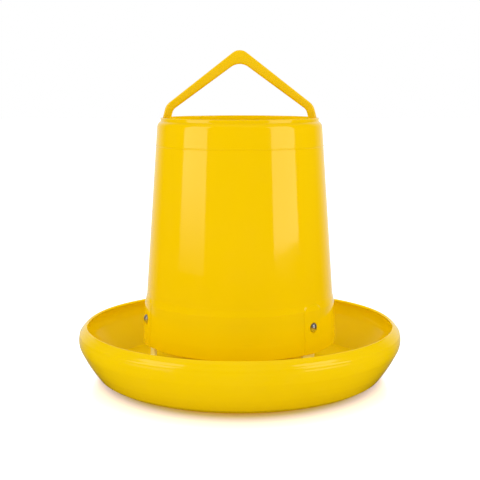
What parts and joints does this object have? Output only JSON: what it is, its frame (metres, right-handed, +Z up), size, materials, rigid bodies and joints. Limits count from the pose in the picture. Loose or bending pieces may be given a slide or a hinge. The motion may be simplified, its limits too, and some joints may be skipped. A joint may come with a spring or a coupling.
{
  "type": "poultry feeder",
  "caption": "Gravity feeder for poultry: an open tapered hopper on legs in a round feed pan with a rolled lip, with a triangular carrying handle.",
  "frame": {"origin": "on the axis of the pan, on the ground under its foot ring", "axes": "+Z up along the axis of hopper and pan; the handle lies in the XZ plane; the front is -Y"},
  "size_m": [0.3556, 0.3556, 0.3556],
  "materials": {
    "pan_plastic": "glossy injection-moulded polypropylene, warm yellow",
    "hopper_plastic": "glossy injection-moulded polypropylene, warm yellow",
    "handle_plastic": "satin moulded polypropylene, warm yellow",
    "leg_plastic": "pale cream-yellow moulded plastic",
    "screw_steel": "bright zinc-plated steel",
    "nut_steel": "bright zinc-plated steel"
  },
  "bodies": {
    "root": {"feed_pan": "pan_plastic", "hopper": "hopper_plastic", "carrying_handle": "handle_plastic", "leg_right": "leg_plastic", "hopper_screw_right": "screw_steel", "hopper_nut_right": "nut_steel", "foot_screw_right": "screw_steel", "foot_nut_right": "nut_steel", "leg_left": "leg_plastic", "hopper_screw_left": "screw_steel", "hopper_nut_left": "nut_steel", "foot_screw_left": "screw_steel", "foot_nut_left": "nut_steel", "leg_rear": "leg_plastic", "hopper_screw_rear": "screw_steel", "hopper_nut_rear": "nut_steel", "foot_screw_rear": "screw_steel", "foot_nut_rear": "nut_steel"}
  },
  "joints": []
}
